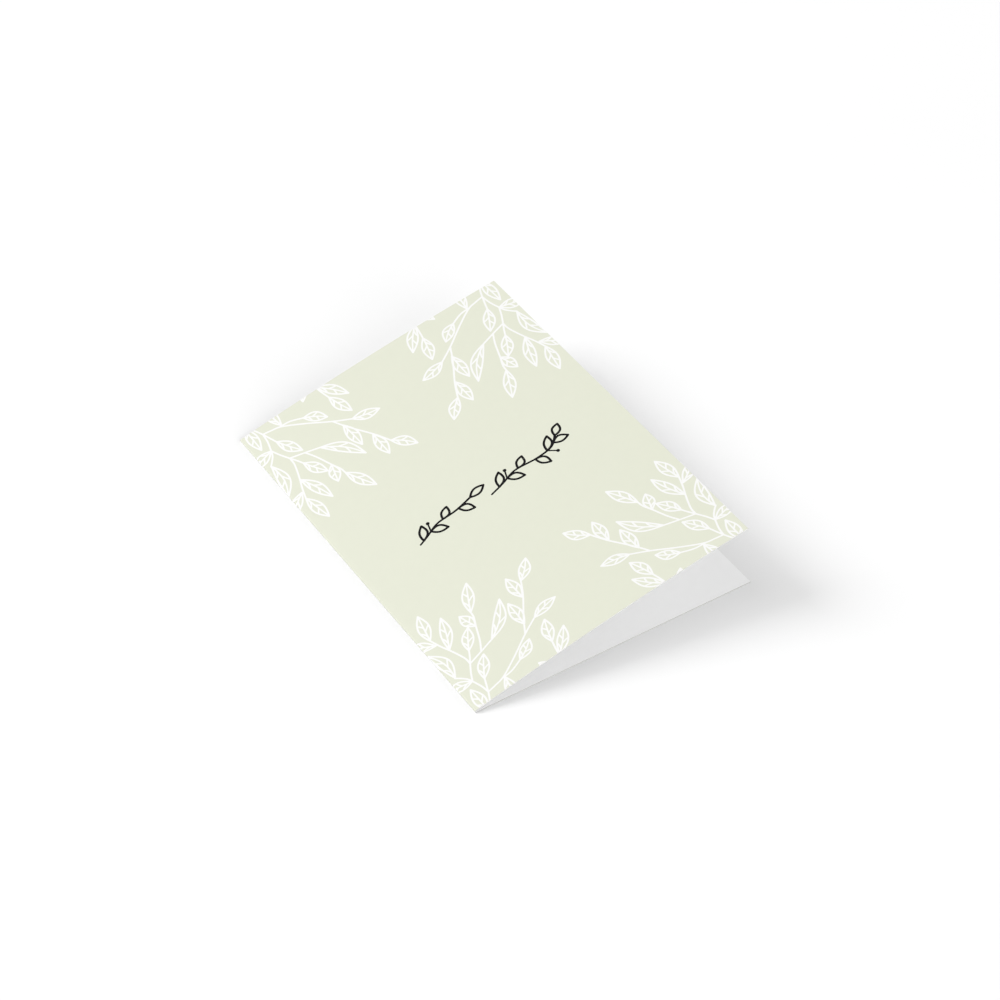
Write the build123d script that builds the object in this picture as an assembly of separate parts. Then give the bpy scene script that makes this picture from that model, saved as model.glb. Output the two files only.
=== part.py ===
"""A folded greeting card, lying on its back panel with the cover a little open.

One sheet of card, scored and folded once. Millimetres, +Z up. The origin is the centre of
the card's footprint on the surface it lies on: +X runs from the fold to the free edges and
+Y runs along the fold, towards the top of the cover.
"""
from build123d import *
from math import cos, degrees, radians, sin
import os

# Driving dimensions, in millimetres and degrees.
PANEL_WIDTH = 127.0        # score line to free edge, on the flat sheet
PANEL_HEIGHT = 177.8       # along the fold
SHEET_THICKNESS = 0.4      # heavy card, about 350 grams to the square metre
FOLD_INNER_RADIUS = 0.25   # inside of the scored fold
FOLD_OPENING = 16.5        # between the two panels, right beside the fold
COVER_BOW_RADIUS = 1250.0  # the cover's outer face curls gently back down

# The fold is one round bend between the flat back panel and the bowed cover.
FOLD_OUTER_RADIUS = FOLD_INNER_RADIUS + SHEET_THICKNESS
FOLD_MIDDLE_RADIUS = FOLD_INNER_RADIUS + SHEET_THICKNESS / 2
FOLD_TURN = 180.0 - FOLD_OPENING

# The bend uses up the same length of either panel, and the rest runs on past it.
PANEL_RUN = PANEL_WIDTH - FOLD_MIDDLE_RADIUS * radians(FOLD_TURN) / 2
FREE_EDGE_X = (PANEL_RUN + FOLD_OUTER_RADIUS) / 2
FOLD_CENTRE = (FREE_EDGE_X - PANEL_RUN, FOLD_OUTER_RADIUS)

# The bow starts where the bend stops, so both share the radius at that angle.
BACK_END_ANGLE = 270.0
COVER_START_ANGLE = BACK_END_ANGLE - FOLD_TURN
COVER_INNER_RADIUS = COVER_BOW_RADIUS - SHEET_THICKNESS
COVER_TURN = degrees(PANEL_RUN / (COVER_BOW_RADIUS - SHEET_THICKNESS / 2))


def step_from(point, angle, distance):
    """The point that lies a distance away, at an angle in degrees from +X."""
    return (point[0] + distance * cos(radians(angle)), point[1] + distance * sin(radians(angle)))


def sheet_section():
    """The sheet's cut edge, as one closed face in the XZ plane."""
    bow_centre = step_from(FOLD_CENTRE, COVER_START_ANGLE, FOLD_OUTER_RADIUS - COVER_BOW_RADIUS)
    with BuildSketch(Plane.XZ) as section:
        with BuildLine():
            back_outside = Line((FREE_EDGE_X, 0), (FOLD_CENTRE[0], 0))
            CenterArc(FOLD_CENTRE, FOLD_OUTER_RADIUS, BACK_END_ANGLE, -FOLD_TURN)
            cover_outside = CenterArc(bow_centre, COVER_BOW_RADIUS, COVER_START_ANGLE, -COVER_TURN)
            cover_inside = CenterArc(bow_centre, COVER_INNER_RADIUS, COVER_START_ANGLE, -COVER_TURN)
            CenterArc(FOLD_CENTRE, FOLD_INNER_RADIUS, BACK_END_ANGLE, -FOLD_TURN)
            back_inside = Line((FOLD_CENTRE[0], SHEET_THICKNESS), (FREE_EDGE_X, SHEET_THICKNESS))
            Line(cover_outside @ 1, cover_inside @ 1)
            Line(back_inside @ 1, back_outside @ 0)
        make_face()
    return section.sketch


def folded_card():
    """The whole sheet, folded, with its height centred on the origin."""
    return extrude(sheet_section(), amount=PANEL_HEIGHT / 2, both=True)


os.makedirs("parts", exist_ok=True)
card = folded_card()
card.label = "folded_card"
export_step(card, "parts/folded_card.step")

free_edge_height = card.bounding_box().max.Z
print(f"flat sheet {2 * PANEL_WIDTH:.1f} x {PANEL_HEIGHT:.1f} mm, {SHEET_THICKNESS} mm thick")
print(f"cover {FOLD_OPENING:.2f} degrees open at the fold, {FOLD_OPENING - COVER_TURN:.2f} at its free edge")
print(f"free edge stands {free_edge_height:.2f} mm high, volume {card.volume / 1000:.3f} cubic centimetres")
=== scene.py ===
"""The looks of a folded greeting card, built around its CAD part.

The card is one mesh in the CAD part's own shape. Its outer face is cut along the outlines of
the print, so that each ink is a crisp field of faces. Lengths are in millimetres until a point
is placed in the scene, which is in metres.
"""
from math import atan2, cos, hypot, pi, radians, sin

import bmesh
import bpy
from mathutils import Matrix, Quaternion, Vector
from mathutils.geometry import delaunay_2d_cdt


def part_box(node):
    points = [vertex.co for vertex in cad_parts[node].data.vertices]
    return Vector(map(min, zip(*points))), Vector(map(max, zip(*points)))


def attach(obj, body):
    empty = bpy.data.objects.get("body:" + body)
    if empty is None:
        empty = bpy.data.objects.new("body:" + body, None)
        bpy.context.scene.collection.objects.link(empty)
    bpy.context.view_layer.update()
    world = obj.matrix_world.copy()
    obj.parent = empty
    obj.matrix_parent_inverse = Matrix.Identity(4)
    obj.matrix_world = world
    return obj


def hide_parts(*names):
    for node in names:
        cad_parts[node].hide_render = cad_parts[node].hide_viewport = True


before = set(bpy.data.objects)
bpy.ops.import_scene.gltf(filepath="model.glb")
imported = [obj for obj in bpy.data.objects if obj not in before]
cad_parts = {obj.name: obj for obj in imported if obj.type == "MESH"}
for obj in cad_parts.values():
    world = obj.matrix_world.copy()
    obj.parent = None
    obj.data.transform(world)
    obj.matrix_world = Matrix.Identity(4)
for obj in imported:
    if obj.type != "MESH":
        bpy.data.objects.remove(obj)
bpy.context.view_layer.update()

MM = 0.001

# The folded sheet, as in the CAD source. How wide and high it is comes from the frame.
SHEET_THICKNESS = 0.4
FOLD_INNER_RADIUS = 0.25
FOLD_OPENING = radians(16.5)
COVER_BOW_RADIUS = 1250.0
card_low, card_high = (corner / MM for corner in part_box("folded_card"))
HALF_HEIGHT = card_high.y

FOLD_TURN = pi - FOLD_OPENING
FOLD_MIDDLE_RADIUS = FOLD_INNER_RADIUS + SHEET_THICKNESS / 2
FOLD_OUTER_RADIUS = FOLD_INNER_RADIUS + SHEET_THICKNESS
FOLD_X = card_low.x + FOLD_OUTER_RADIUS
HALF_BEND = FOLD_MIDDLE_RADIUS * FOLD_TURN / 2
PANEL_WIDTH = card_high.x - FOLD_X + HALF_BEND
COVER_START_ANGLE = 1.5 * pi - FOLD_TURN
BOW_MIDDLE_RADIUS = COVER_BOW_RADIUS - SHEET_THICKNESS / 2
BOW_REACH = COVER_BOW_RADIUS - FOLD_OUTER_RADIUS
BOW_X = FOLD_X - BOW_REACH * cos(COVER_START_ANGLE)
BOW_Z = FOLD_OUTER_RADIUS - BOW_REACH * sin(COVER_START_ANGLE)

# How finely the bends are divided, and how far the cut edge is rounded.
BEND_STRIPS = 12
COVER_STRIPS = 48
EDGE_ROUND = 0.05

# Points nearer than CUT_TOLERANCE are one point to the cut, a point nearer the outline than
# NEAR_OUTLINE lies on it, and faces thinner than SLIVER are dropped in the end.
CUT_TOLERANCE = 0.00001
NEAR_OUTLINE = 0.001
SLIVER = 0.001

# The print. Its coordinates run across from the fold and down from the top of the cover.
LINE_WIDTH = 0.75
PEN_WIDTH = 1.0
CAP_POINTS = 3
DOT_SIDES = 16

# A drift, squared, is the print's scale at the free edge over that at the fold, or at the bottom
# over that at the top.
SCALE_DRIFT_ACROSS = 1.017
SCALE_DRIFT_DOWN = 0.886


# ---------------------------------------------------------------- the bent sheet

def on_sheet(along, up, depth):
    """A place on the folded sheet, in metres.

    along runs from -PANEL_WIDTH at the back panel's free edge, over 0 at the score line, to
    PANEL_WIDTH at the cover's free edge. depth is from the sheet's middle towards its outside.
    """
    if along <= -HALF_BEND:
        x = FOLD_X - HALF_BEND - along
        z = SHEET_THICKNESS / 2 - depth
    elif along < HALF_BEND:
        angle = 1.5 * pi - (along + HALF_BEND) / FOLD_MIDDLE_RADIUS
        x = FOLD_X + (FOLD_MIDDLE_RADIUS + depth) * cos(angle)
        z = FOLD_OUTER_RADIUS + (FOLD_MIDDLE_RADIUS + depth) * sin(angle)
    else:
        angle = COVER_START_ANGLE - (along - HALF_BEND) / BOW_MIDDLE_RADIUS
        x = BOW_X + (BOW_MIDDLE_RADIUS + depth) * cos(angle)
        z = BOW_Z + (BOW_MIDDLE_RADIUS + depth) * sin(angle)
    return Vector((x, up, z)) * MM


def bend_lines():
    """Where the sheet is divided along its width, so that it can bend smoothly."""
    bend = [HALF_BEND * (2 * i / BEND_STRIPS - 1) for i in range(BEND_STRIPS + 1)]
    strip = (PANEL_WIDTH - HALF_BEND) / COVER_STRIPS
    cover = [HALF_BEND + strip * i for i in range(1, COVER_STRIPS)]
    return bend + cover


# ---------------------------------------------------------------- drawing with strokes

def smooth(points, per_span=7):
    """A Catmull-Rom curve through a few points."""
    ends = [points[0]] + list(points) + [points[-1]]
    curve = []
    for a, b, c, d in zip(ends, ends[1:], ends[2:], ends[3:]):
        for i in range(per_span):
            t = i / per_span
            curve.append(tuple(
                0.5 * (2 * q + (r - p) * t + (2 * p - 5 * q + 4 * r - s) * t ** 2
                       + (3 * q - p - 3 * r + s) * t ** 3)
                for p, q, r, s in zip(a, b, c, d)))
    return curve + [tuple(points[-1])]


def ribbon(line, width, end_width=None):
    """The outline of a pen stroke along a line: an even or tapering band with round ends."""
    end_width = width if end_width is None else end_width
    left, right = [], []
    last = len(line) - 1
    for i, (x, y) in enumerate(line):
        (ax, ay), (bx, by) = line[max(i - 1, 0)], line[min(i + 1, last)]
        length = hypot(bx - ax, by - ay)
        half = (width + (end_width - width) * i / last) / 2 / length
        nx, ny = -(by - ay) * half, (bx - ax) * half
        left.append((x + nx, y + ny))
        right.append((x - nx, y - ny))
    return left + round_cap(line[-1], left[-1]) + right[::-1] + round_cap(line[0], right[0])


def round_cap(centre, start):
    """The points of a half circle round a stroke's end, clockwise from start."""
    x, y = start[0] - centre[0], start[1] - centre[1]
    turns = [-pi * (i + 1) / (CAP_POINTS + 1) for i in range(CAP_POINTS)]
    return [(centre[0] + x * cos(a) - y * sin(a), centre[1] + x * sin(a) + y * cos(a)) for a in turns]


def dot(centre, radius):
    """A round ink spot."""
    turns = [2 * pi * i / DOT_SIDES for i in range(DOT_SIDES)]
    return [(centre[0] + radius * cos(a), centre[1] + radius * sin(a)) for a in turns]


# A leaf's side veins: which side, where they leave the midrib and where they meet the outline.
VEINS = ((1, 0.18, 0.38), (-1, 0.37, 0.56), (1, 0.53, 0.68))
LEAF_STEPS = 14

# How far the midrib and the veins reach and how far out a vein bends, as shares of the leaf, and
# how wide a midrib's tip and a vein are, as shares of the pen's width.
MIDRIB_REACH = 0.94
VEIN_REACH = 0.96
VEIN_BEND = 0.55
MIDRIB_TIP = 0.8
VEIN_PEN = 0.9


def leaf(base, tip, width, bow=0.0, pen=LINE_WIDTH, veins=VEINS):
    """The strokes of a pointed leaf: its two sides and, if it has veins, those and a midrib.

    bow is how far the leaf's middle stands off the line from base to tip, as a share of it. A
    width below zero puts the first vein on the other side.
    """
    dx, dy = tip[0] - base[0], tip[1] - base[1]
    length = hypot(dx, dy)
    nx, ny = -dy / length, dx / length

    def place(t, side):
        off = (side * width / 2 + bow * length) * sin(pi * t)
        return (base[0] + dx * t + nx * off, base[1] + dy * t + ny * off)

    shares = [i / LEAF_STEPS for i in range(LEAF_STEPS + 1)]
    strokes = [ribbon([place(t, side) for t in shares], pen) for side in (1, -1)]
    if veins:
        midrib = [place(t * MIDRIB_REACH, 0) for t in shares[::2]]
        strokes.append(ribbon(midrib, pen, pen * MIDRIB_TIP))
    for side, start, end in veins:
        bend = place((start + 2 * end) / 3, side * VEIN_BEND)
        vein = smooth((place(start, 0), bend, place(end, side * VEIN_REACH)), per_span=3)
        strokes.append(ribbon(vein, pen * VEIN_PEN))
    return strokes


# ---------------------------------------------------------------- the print

# One leaf spray, as it lies in the cover's top left corner: each stem by a few points, and each
# leaf by its base, tip, width and bow. Some run off the edge of the card.
STEMS = (
    ((6.4, -1.0), (7.6, 1.2), (8.8, 4.1)),
    ((8.8, 4.1), (8.3, 8.3), (6.9, 13.1)),
    ((6.9, 13.1), (8.6, 17.1), (10.7, 21.1)),
    ((10.7, 21.1), (10.6, 24.5), (9.5, 28.5), (8.0, 32.8), (6.3, 37.2), (4.8, 42.1)),
    ((6.9, 13.1), (6.0, 15.4), (4.3, 17.6), (2.5, 19.4)),
    ((8.8, 4.1), (10.1, 7.8), (11.1, 10.8)),
    ((8.8, 4.1), (12.6, 4.8), (17.0, 6.0), (25.0, 11.0), (34.3, 17.6), (41.3, 21.9)),
    ((16.0, 5.6), (21.0, 6.1), (26.2, 8.3)),
    ((34.3, 17.6), (35.4, 19.8), (36.6, 22.2)),
    ((36.6, 22.2), (38.8, 26.1), (43.4, 33.7), (45.6, 38.0), (47.1, 41.3)),
    ((10.7, 21.1), (17.0, 23.0), (23.2, 25.0)),
    ((17.0, 23.0), (19.4, 27.8), (22.0, 35.0), (23.7, 39.3), (24.1, 42.3)),
    ((10.7, 21.1), (12.3, 24.0), (13.7, 26.9)),
    ((38.6, -1.5), (39.2, 2.5), (40.1, 6.7)),
)
LEAVES = (
    ((4.4, -3.4), (4.1, 10.1), 4.55, 0.0),
    ((6.7, 13.1), (-3.8, 15.9), 4.6, 0.0),
    ((2.7, 19.5), (-0.1, 36.5), 4.8, -0.105),
    ((17.3, 5.4), (15.5, -7.6), -4.3, 0.0),
    ((11.1, 10.8), (17.0, 21.2), 4.6, 0.015),
    ((26.2, 8.3), (34.1, 14.3), 4.5, -0.055),
    ((38.9, -0.9), (47.5, 10.2), 4.4, -0.035),
    ((40.1, 6.7), (43.6, 18.2), 4.6, 0.02),
    ((41.3, 21.9), (52.7, 24.8), 4.5, 0.03),
    ((36.7, 22.1), (37.2, 35.2), 4.6, -0.01),
    ((43.2, 34.0), (43.1, 46.3), 4.6, -0.005),
    ((47.1, 41.3), (54.6, 49.6), 4.5, -0.05),
    ((23.2, 25.0), (35.9, 39.7), 4.7, -0.087),
    ((13.7, 26.9), (19.2, 36.7), 4.6, 0.02),
    ((22.0, 35.2), (19.6, 43.8), 4.5, 0.01),
    ((24.1, 42.3), (30.4, 55.7), 4.7, 0.01),
    ((8.2, 32.9), (13.7, 48.5), 4.5, -0.03),
    ((4.8, 42.1), (7.3, 55.7), 4.7, 0.0),
    ((5.2, 38.4), (-4.9, 45.6), 4.4, 0.0),
    ((36.2, -9.5), (30.7, 1.5), 4.8, 0.0),
)


def spray():
    """The strokes of one leaf spray."""
    strokes = [ribbon(smooth(stem), LINE_WIDTH) for stem in STEMS]
    for shape in LEAVES:
        strokes += leaf(*shape)
    return strokes


def sprays():
    """The spray in each corner of the cover, mirrored from one to the next."""
    strokes = []
    for flip_across in (False, True):
        for flip_down in (False, True):
            for outline in spray():
                strokes.append([
                    (PANEL_WIDTH - x if flip_across else x, 2 * HALF_HEIGHT - y if flip_down else y)
                    for x, y in outline])
    return strokes


# The two pen-drawn twigs across the middle: each by a few points of its stem and its leaf count.
TWIGS = (
    (((27.2, 93.2), (31.5, 91.6), (38.0, 88.9), (47.0, 88.6), (55.0, 87.0)), 5),
    (((62.3, 91.8), (68.5, 90.2), (76.0, 87.8), (86.0, 88.6), (93.5, 87.6), (98.0, 83.6)), 7),
)
FIRST_LEAF_AT = 0.14
TWIG_LEAF_LENGTH = 6.84
LENGTH_SWAY = 0.76
TWIG_LEAF_WIDTH = 3.3
TWIG_LEAF_BOW = 0.05
LEAF_LEAN = radians(46)
LEAN_SWAY = radians(6)
BERRY_RADIUS = 0.8
BERRY_STALK = 4.3
BERRY_LEAN = radians(48)

# How wide a twig's stem starts and a berry's stalk is, as shares of the pen's width.
STEM_START = 0.8
STALK_PEN = 0.7


def place_along(start, angle, distance):
    """The place at a distance from start, in the direction of an angle."""
    return (start[0] + distance * cos(angle), start[1] + distance * sin(angle))


def twig(points, leaf_count):
    """A small pen-drawn twig: leaves on alternate sides of a wavy stem and at its end, with berries."""
    stem = smooth(points, per_span=12)
    strokes = [ribbon(stem, PEN_WIDTH * STEM_START, PEN_WIDTH)]
    for i in range(leaf_count):
        share = FIRST_LEAF_AT + (1 - FIRST_LEAF_AT) * i / (leaf_count - 1)
        at = min(round(share * len(stem)), len(stem) - 1)
        node, earlier = stem[at], stem[at - 3]
        forward = atan2(node[1] - earlier[1], node[0] - earlier[0])
        side = 0 if i == leaf_count - 1 else (-1, 1)[i % 2]
        lean = forward + side * (LEAF_LEAN + LEAN_SWAY * sin(2.1 * i))
        tip = place_along(node, lean, TWIG_LEAF_LENGTH + LENGTH_SWAY * sin(1.7 * i + 1))
        strokes += leaf(node, tip, TWIG_LEAF_WIDTH, -TWIG_LEAF_BOW * side, pen=PEN_WIDTH, veins=())
        if side and i % 3 == 1:
            berry = place_along(node, forward - side * BERRY_LEAN, BERRY_STALK)
            strokes += [ribbon([node, berry], PEN_WIDTH * STALK_PEN), dot(berry, BERRY_RADIUS)]
    return strokes


def twigs():
    """The strokes of both twigs."""
    return [stroke for points, leaf_count in TWIGS for stroke in twig(points, leaf_count)]


def drifted(share, drift):
    """Where a share of the way across or down the print lands, as a share of the cover."""
    return share / (drift + (1 - drift) * share)


def printed_at(point):
    """Where a point of the print lands on the flat sheet: along it, and up from its middle."""
    across, down = point[0] / PANEL_WIDTH, point[1] / (2 * HALF_HEIGHT)
    along = PANEL_WIDTH * drifted(across, SCALE_DRIFT_ACROSS)
    return (along, HALF_HEIGHT * (1 - 2 * drifted(down, SCALE_DRIFT_DOWN)))


# ---------------------------------------------------------------- cutting the faces

SAGE, WHITE, PEN, BARE, EDGE = range(5)


def signed_area(outline):
    """The area inside an outline, positive where it runs anticlockwise."""
    return sum(a[0] * b[1] - b[0] * a[1] for a, b in zip(outline, outline[1:] + outline[:1])) / 2


def creases(first):
    """The bend lines across the flat sheet as points, and as edges numbered from first."""
    top = HALF_HEIGHT - EDGE_ROUND
    lines = bend_lines()
    points = [Vector((line, up)) for line in lines for up in (-top, top)]
    return points, [(first + 2 * i, first + 2 * i + 1) for i in range(len(lines))]


def top_ink(found):
    """The ink that shows, of those that cover a spot: none where the print runs off the sheet."""
    if BARE in found:
        return BARE
    if SAGE not in found:
        return None
    return next(ink for ink in (PEN, WHITE, SAGE) if ink in found)


def cut_face(strokes_by_ink):
    """The outside of the flat sheet as triangles, cut along the print: points, triangles, inks."""
    reach, top = PANEL_WIDTH - EDGE_ROUND, HALF_HEIGHT - EDGE_ROUND
    outlines = [(BARE, [(-reach, -top), (0, -top), (0, top), (-reach, top)]),
                (SAGE, [(0, -top), (reach, -top), (reach, top), (0, top)])]
    for ink, strokes in strokes_by_ink.items():
        outlines += [(ink, [printed_at(p) for p in stroke]) for stroke in strokes]

    points, edges = creases(0)
    faces = []
    for _, outline in outlines:
        faces.append(list(range(len(points), len(points) + len(outline))))
        points += [Vector(p) for p in (outline if signed_area(outline) > 0 else outline[::-1])]
    points, _, cut, _, _, origins = delaunay_2d_cdt(points, edges, faces, 0, CUT_TOLERANCE)

    triangles, inks = [], []
    for triangle, sources in zip(cut, origins):
        ink = top_ink({outlines[source][0] for source in sources})
        if ink is not None:
            triangles.append(triangle)
            inks.append(ink)
    return points, triangles, inks


def plain_face(rim):
    """The inside of the flat sheet as triangles, with the outside's rim and the same bend lines."""
    crease_points, edges = creases(len(rim))
    points, _, cut, _, _, origins = delaunay_2d_cdt(
        list(rim) + crease_points, edges, [list(range(len(rim)))], 0, CUT_TOLERANCE)
    return points, [triangle for triangle, sources in zip(cut, origins) if sources]


def rim_of(points, triangles):
    """The points round the sheet's outline, in order from the back panel's lower free corner."""
    sides = {(a, b) for triangle in triangles for a, b in zip(triangle, triangle[1:] + triangle[:1])}
    following = {a: b for a, b in sides if (b, a) not in sides}
    corner = Vector((EDGE_ROUND - PANEL_WIDTH, EDGE_ROUND - HALF_HEIGHT))
    rim = [min(following, key=lambda i: (points[i] - corner).length)]
    while following[rim[-1]] != rim[0]:
        rim.append(following[rim[-1]])
    return rim


# ---------------------------------------------------------------- the mesh

# The sheet's edge from its outside to its inside, as (distance in from the cut, depth). Each of
# its two corners is rounded in three steps.
HALF_THICK = SHEET_THICKNESS / 2
EDGE_TURNS = [radians(30 * i) for i in range(4)]
ROUNDING = [(EDGE_ROUND * (1 - sin(a)), HALF_THICK - EDGE_ROUND * (1 - cos(a))) for a in EDGE_TURNS]
EDGE_PROFILE = ROUNDING + [(inset, -depth) for inset, depth in reversed(ROUNDING)]

# The card's own map keeps each ink and each side of a panel in a cell of its own, so that a
# picture baked from it doesn't blur one into the next: three cells across and two up. An ink's
# cell has the ink's own number. The cut edge lies in two thin strips, one over each row of cells.
CARD_MAP = "OFBake"
BACK_CELL, COVER_INSIDE_CELL, BACK_INSIDE_CELL = 3, 4, 5
CELLS_ACROSS, CELLS_UP = 3, 2
CELL_MARGIN = 0.006
CELL_SCALE = (1 / CELLS_ACROSS - 2 * CELL_MARGIN) / PANEL_WIDTH
STRIP_LOW, STRIP_HIGH = 0.478, 0.492


def pushed_out(point, distance):
    """A point of the inset outline moved out towards the cut edge."""
    reach, top = PANEL_WIDTH - EDGE_ROUND, HALF_HEIGHT - EDGE_ROUND
    along, up = point
    if abs(abs(along) - reach) < NEAR_OUTLINE:
        along += distance if along > 0 else -distance
    if abs(abs(up) - top) < NEAR_OUTLINE:
        up += distance if up > 0 else -distance
    return along, up


def cell_place(cell, point):
    """Where a point of a panel lies in its cell of the map."""
    column, row = cell % CELLS_ACROSS, cell // CELLS_ACROSS
    return (column / CELLS_ACROSS + CELL_MARGIN + abs(point.x) * CELL_SCALE,
            row / CELLS_UP + CELL_MARGIN + (point.y + HALF_HEIGHT) * CELL_SCALE)


def strip_places(start, end, whole, levels):
    """Where a face of the cut edge lies in the map, from its reach along the whole outline."""
    half = whole / 2
    row = 0 if start + end < whole else 1
    left, right = ((length - row * half) / half for length in (start, end))
    low, high = (row / CELLS_UP + STRIP_LOW + (STRIP_HIGH - STRIP_LOW) * level for level in levels)
    return (right, low), (left, low), (left, high), (right, high)


def add_face(mesh, corners, ink, places):
    """One smooth face, with its corners' places on the card's map."""
    face = mesh.faces.new(corners)
    face.material_index = ink
    face.smooth = True
    card_map = mesh.loops.layers.uv[CARD_MAP]
    for loop, place in zip(face.loops, places):
        loop[card_map].uv = place


def add_outside(mesh, points, triangles, inks):
    """The printed outside. Its vertices are given back by point."""
    used = sorted({i for triangle in triangles for i in triangle})
    vertices = {i: mesh.verts.new(on_sheet(*points[i], HALF_THICK)) for i in used}
    for triangle, ink in zip(triangles, inks):
        cell = BACK_CELL if ink == BARE else ink
        places = [cell_place(cell, points[i]) for i in triangle]
        add_face(mesh, [vertices[i] for i in triangle], ink, places)
    return vertices


def add_cut_edge(mesh, outline, ring):
    """The rounded cut edge, from the outside's ring of vertices to the inside's."""
    lengths = [0.0]
    for a, b in zip(outline, outline[1:] + outline[:1]):
        lengths.append(lengths[-1] + (b - a).length)
    bands = len(EDGE_PROFILE) - 1
    for band, (inset, depth) in enumerate(EDGE_PROFILE[1:]):
        levels = (band / bands, (band + 1) / bands)
        deeper = [mesh.verts.new(on_sheet(*pushed_out(p, EDGE_ROUND - inset), depth)) for p in outline]
        for i in range(len(outline)):
            j = (i + 1) % len(outline)
            add_face(mesh, (ring[j], ring[i], deeper[i], deeper[j]), EDGE,
                     strip_places(lengths[i], lengths[i + 1], lengths[-1], levels))
        ring = deeper
    return ring


def add_inside(mesh, outline, ring):
    """The bare inside, from the cut edge's last ring of vertices."""
    points, triangles = plain_face(outline)
    on_rim = {tuple(p): vertex for p, vertex in zip(outline, ring)}
    vertices = [on_rim.get(tuple(p)) or mesh.verts.new(on_sheet(*p, -HALF_THICK)) for p in points]
    for triangle in triangles:
        on_cover = sum(points[i].x for i in triangle) > 0
        cell = COVER_INSIDE_CELL if on_cover else BACK_INSIDE_CELL
        order = triangle[::-1]
        places = [cell_place(cell, points[i]) for i in order]
        add_face(mesh, [vertices[i] for i in order], BARE, places)


def sharpen(mesh, ring):
    """Keep the shading of the panels and of the rounded edge apart along a ring."""
    for a, b in zip(ring, ring[1:] + ring[:1]):
        mesh.edges.get((a, b)).smooth = False


def printed_card(materials):
    """The whole card as one closed mesh, its outside cut along the print."""
    points, triangles, inks = cut_face({WHITE: sprays(), PEN: twigs()})
    rim = rim_of(points, triangles)
    outline = [points[i] for i in rim]

    mesh = bmesh.new()
    mesh.loops.layers.uv.new(CARD_MAP)
    outside = add_outside(mesh, points, triangles, inks)
    outer_ring = [outside[i] for i in rim]
    inner_ring = add_cut_edge(mesh, outline, outer_ring)
    add_inside(mesh, outline, inner_ring)
    sharpen(mesh, outer_ring)
    sharpen(mesh, inner_ring)
    bmesh.ops.dissolve_degenerate(mesh, dist=SLIVER * MM, edges=mesh.edges)

    data = bpy.data.meshes.new("printed_card")
    mesh.to_mesh(data)
    mesh.free()
    for material in materials:
        data.materials.append(material)
    card = bpy.data.objects.new("printed_card", data)
    bpy.context.collection.objects.link(card)
    return card


# ---------------------------------------------------------------- materials

# The card's finishes, in the order of the faces' numbers: name, colour, the colour's unevenness
# either way as a share, lowest and highest roughness, depth of the paper's tooth in metres, and
# how much it mirrors.
FINISHES = (
    ("sage_ink", (0.619, 0.633, 0.526), 0.005, (0.52, 0.64), 0.00002, 0.5),
    ("white_ink", (0.760, 0.760, 0.751), 0.005, (0.45, 0.60), 0.00002, 0.5),
    ("pen_ink", (0.006, 0.006, 0.007), 0.30, (0.60, 0.75), 0.00001, 0.08),
    ("bare_card", (0.914, 0.914, 0.913), 0.006, (0.68, 0.82), 0.00003, 0.5),
    # The cut edge is coloured darker than the bare card as painted shade on the thin edge.
    ("cut_edge", (0.630, 0.630, 0.615), 0.05, (0.80, 0.95), 0.00004, 0.5),
)

# Painted contact shade: the cut edge at the table is darkened to this share of its colour, which eases
# off over a height in metres.
EDGE_SHADE = 0.76
EDGE_SHADE_REACH = 0.002

# How fine the cloudiness, the uneven gloss and the tooth are, per metre, and where most of a
# noise value lies.
CLOUD_SCALE = 260
GLOSS_SCALE = 900
TOOTH_SCALE = 4200
NOISE_LOW, NOISE_HIGH = 0.3, 0.7


def new_material(name):
    """A node material, its node tree and its Principled shader."""
    material = bpy.data.materials.new(name)
    material.use_nodes = True
    return material, material.node_tree, material.node_tree.nodes["Principled BSDF"]


def noise(tree, scale, detail=3.0):
    """Noise in the piece's own coordinates, as a value about 0.5. scale is per metre."""
    coordinates = tree.nodes.new("ShaderNodeTexCoord")
    texture = tree.nodes.new("ShaderNodeTexNoise")
    texture.inputs["Scale"].default_value = scale
    texture.inputs["Detail"].default_value = detail
    tree.links.new(coordinates.outputs["Object"], texture.inputs["Vector"])
    return texture.outputs["Fac"]


def spread(tree, value, low, high):
    """A noise value spread over a range."""
    node = tree.nodes.new("ShaderNodeMapRange")
    node.inputs["From Min"].default_value = NOISE_LOW
    node.inputs["From Max"].default_value = NOISE_HIGH
    node.inputs["To Min"].default_value = low
    node.inputs["To Max"].default_value = high
    tree.links.new(value, node.inputs["Value"])
    return node.outputs["Result"]


def blend_colours(tree, value, dark, light):
    """A colour between two, by a noise value."""
    node = tree.nodes.new("ShaderNodeMix")
    node.data_type = "RGBA"
    node.inputs["A"].default_value = (*dark, 1)
    node.inputs["B"].default_value = (*light, 1)
    tree.links.new(value, node.inputs["Factor"])
    return node.outputs["Result"]


def add_bump(tree, shader, height, distance):
    """Relief on a shader from a height value; distance is in metres."""
    node = tree.nodes.new("ShaderNodeBump")
    node.inputs["Distance"].default_value = distance
    tree.links.new(height, node.inputs["Height"])
    tree.links.new(node.outputs["Normal"], shader.inputs["Normal"])


def card_material(name, colour, unevenness, roughness, tooth, specular):
    """Card stock or ink on it: faint cloudiness, uneven gloss and the paper's tooth."""
    material, tree, shader = new_material(name)
    shader.inputs["Specular IOR Level"].default_value = specular
    dark, light = ([part * (1 + turn * unevenness) for part in colour] for turn in (-1, 1))
    cloud = spread(tree, noise(tree, CLOUD_SCALE, detail=6), 0, 1)
    tree.links.new(blend_colours(tree, cloud, dark, light), shader.inputs["Base Color"])
    tree.links.new(spread(tree, noise(tree, GLOSS_SCALE), *roughness), shader.inputs["Roughness"])
    add_bump(tree, shader, noise(tree, TOOTH_SCALE, detail=4), tooth)
    return material


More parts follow.
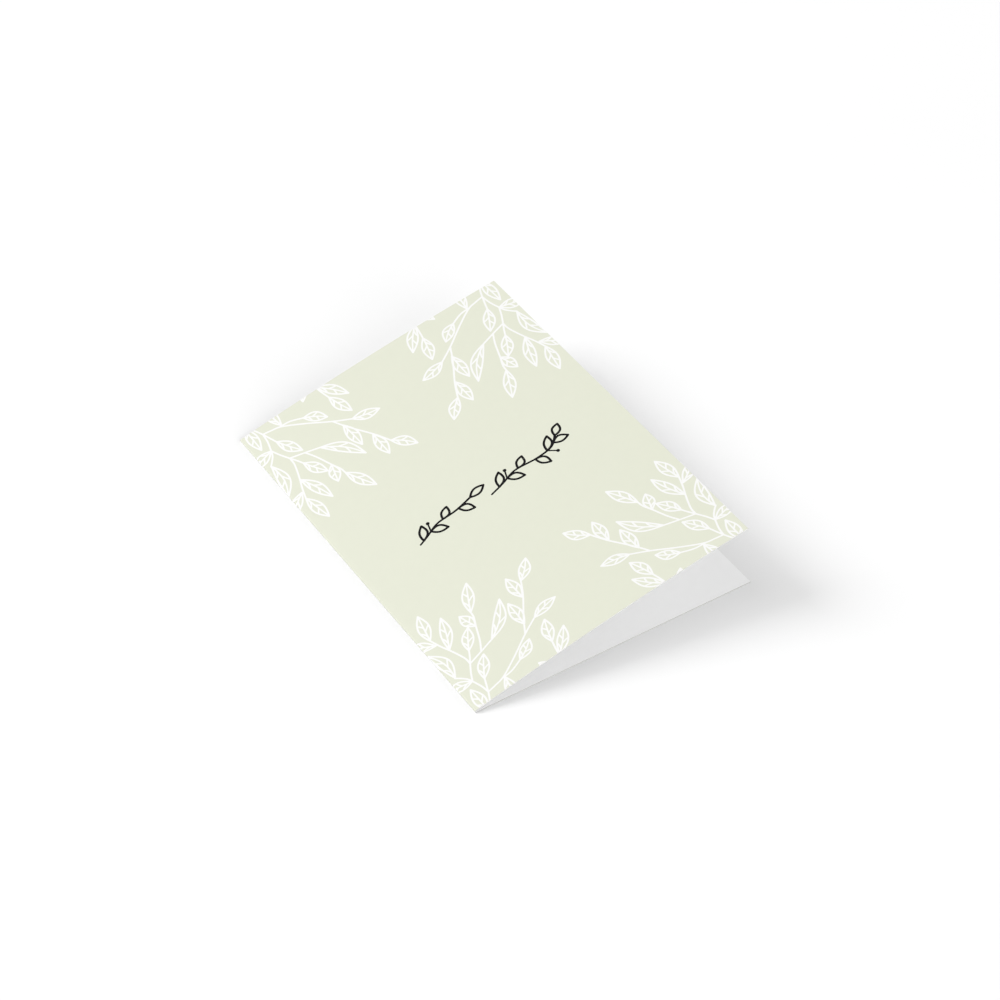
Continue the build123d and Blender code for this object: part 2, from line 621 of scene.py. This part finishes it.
def paint_table_shade(material, reach, share):
    """Paint contact shade on a material: darken it to a share of its colour at the table, easing off up
    to a height of reach.
    """
    tree = material.node_tree
    shader = tree.nodes["Principled BSDF"]
    colour = shader.inputs["Base Color"].links[0].from_socket
    coordinates = tree.nodes.new("ShaderNodeTexCoord")
    place = tree.nodes.new("ShaderNodeSeparateXYZ")
    tree.links.new(coordinates.outputs["Object"], place.inputs["Vector"])
    by_height = tree.nodes.new("ShaderNodeMapRange")
    by_height.inputs["From Max"].default_value = reach
    by_height.inputs["To Min"].default_value = share
    tree.links.new(place.outputs["Z"], by_height.inputs["Value"])
    product = tree.nodes.new("ShaderNodeVectorMath")
    product.operation = "MULTIPLY"
    tree.links.new(colour, product.inputs[0])
    tree.links.new(by_height.outputs["Result"], product.inputs[1])
    tree.links.new(product.outputs["Vector"], shader.inputs["Base Color"])


def make_materials():
    """The card's materials, in the order of the faces' numbers."""
    materials = [card_material(*finish) for finish in FINISHES]
    # Painted contact shade on the cut edge, darkest at the table.
    paint_table_shade(materials[EDGE], EDGE_SHADE_REACH, EDGE_SHADE)
    return materials


# ---------------------------------------------------------------- camera, floor and light

CAMERA_AZIMUTH = radians(-33.38)
CAMERA_ELEVATION = radians(43.25)
CAMERA_ROLL = radians(0.52)
CAMERA_DISTANCE = 1.1208
CAMERA_TARGET = Vector((0.00697, 0.00262, 0.0))
CAMERA_LENS = 100.9
LIGHT_DISTANCE = 6.0
DOME_STRENGTH = 0.559
FLOOR_HALF = 3.0
FLOOR_GREYS = (0.795, 0.805)
FLOOR_SHADE_SCALE = 3
FLOOR_ROUGHNESS = 0.9

# The lamps: azimuth and elevation in degrees, size in metres, power in watts.
LAMPS = (
    ("key", -135, 35, 3.2, 228.0),
    ("high_key", -135, 65, 3.6, 56.0),
    ("front_fill", 0, 25, 4.4, 137.0),
    ("right_fill", 60, 25, 4.4, 44.0),
    ("low_fill", 60, 12, 2.4, 86.0),
)


def direction(azimuth, elevation):
    """The direction towards a viewer or lamp at that azimuth and elevation."""
    flat = cos(elevation)
    return Vector((sin(azimuth) * flat, -cos(azimuth) * flat, sin(elevation)))


def add_camera():
    """The camera, where the photograph was taken from."""
    back = direction(CAMERA_AZIMUTH, CAMERA_ELEVATION)
    data = bpy.data.cameras.new("camera")
    data.lens = CAMERA_LENS
    camera = bpy.data.objects.new("camera", data)
    camera.location = CAMERA_TARGET + back * CAMERA_DISTANCE
    camera.rotation_mode = "QUATERNION"
    level = (-back).to_track_quat("-Z", "Y")
    camera.rotation_quaternion = level @ Quaternion((0, 0, 1), CAMERA_ROLL)
    bpy.context.collection.objects.link(camera)
    bpy.context.scene.camera = camera


def add_area_light(name, azimuth, elevation, size, power):
    """A round soft light that faces the card."""
    data = bpy.data.lights.new(name, "AREA")
    data.shape = "DISK"
    data.size = size
    data.energy = power
    light = bpy.data.objects.new(name, data)
    towards = direction(azimuth, elevation)
    light.location = towards * LIGHT_DISTANCE
    light.rotation_mode = "QUATERNION"
    light.rotation_quaternion = (-towards).to_track_quat("-Z", "Y")
    bpy.context.collection.objects.link(light)


def add_floor():
    """The pale table top under the card."""
    material, tree, shader = new_material("pale_floor")
    shade = spread(tree, noise(tree, FLOOR_SHADE_SCALE), 0, 1)
    dark, light = ((grey, grey, grey) for grey in FLOOR_GREYS)
    tree.links.new(blend_colours(tree, shade, dark, light), shader.inputs["Base Color"])
    shader.inputs["Roughness"].default_value = FLOOR_ROUGHNESS
    data = bpy.data.meshes.new("floor")
    corners = [(x * FLOOR_HALF, y * FLOOR_HALF, 0) for x, y in ((-1, -1), (1, -1), (1, 1), (-1, 1))]
    data.from_pydata(corners, [], [(0, 1, 2, 3)])
    data.materials.append(material)
    floor = bpy.data.objects.new("floor", data)
    bpy.context.collection.objects.link(floor)


def light_world():
    """Even white light from all round."""
    world = bpy.data.worlds.new("studio")
    world.use_nodes = True
    background = world.node_tree.nodes["Background"]
    background.inputs["Color"].default_value = (1, 1, 1, 1)
    background.inputs["Strength"].default_value = DOME_STRENGTH
    bpy.context.scene.world = world


card = printed_card(make_materials())
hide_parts("folded_card")
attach(card, "root")

add_floor()
add_camera()
light_world()
for name, azimuth, elevation, size, power in LAMPS:
    add_area_light(name, radians(azimuth), radians(elevation), size, power)
bpy.context.scene.view_settings.view_transform = "Standard"
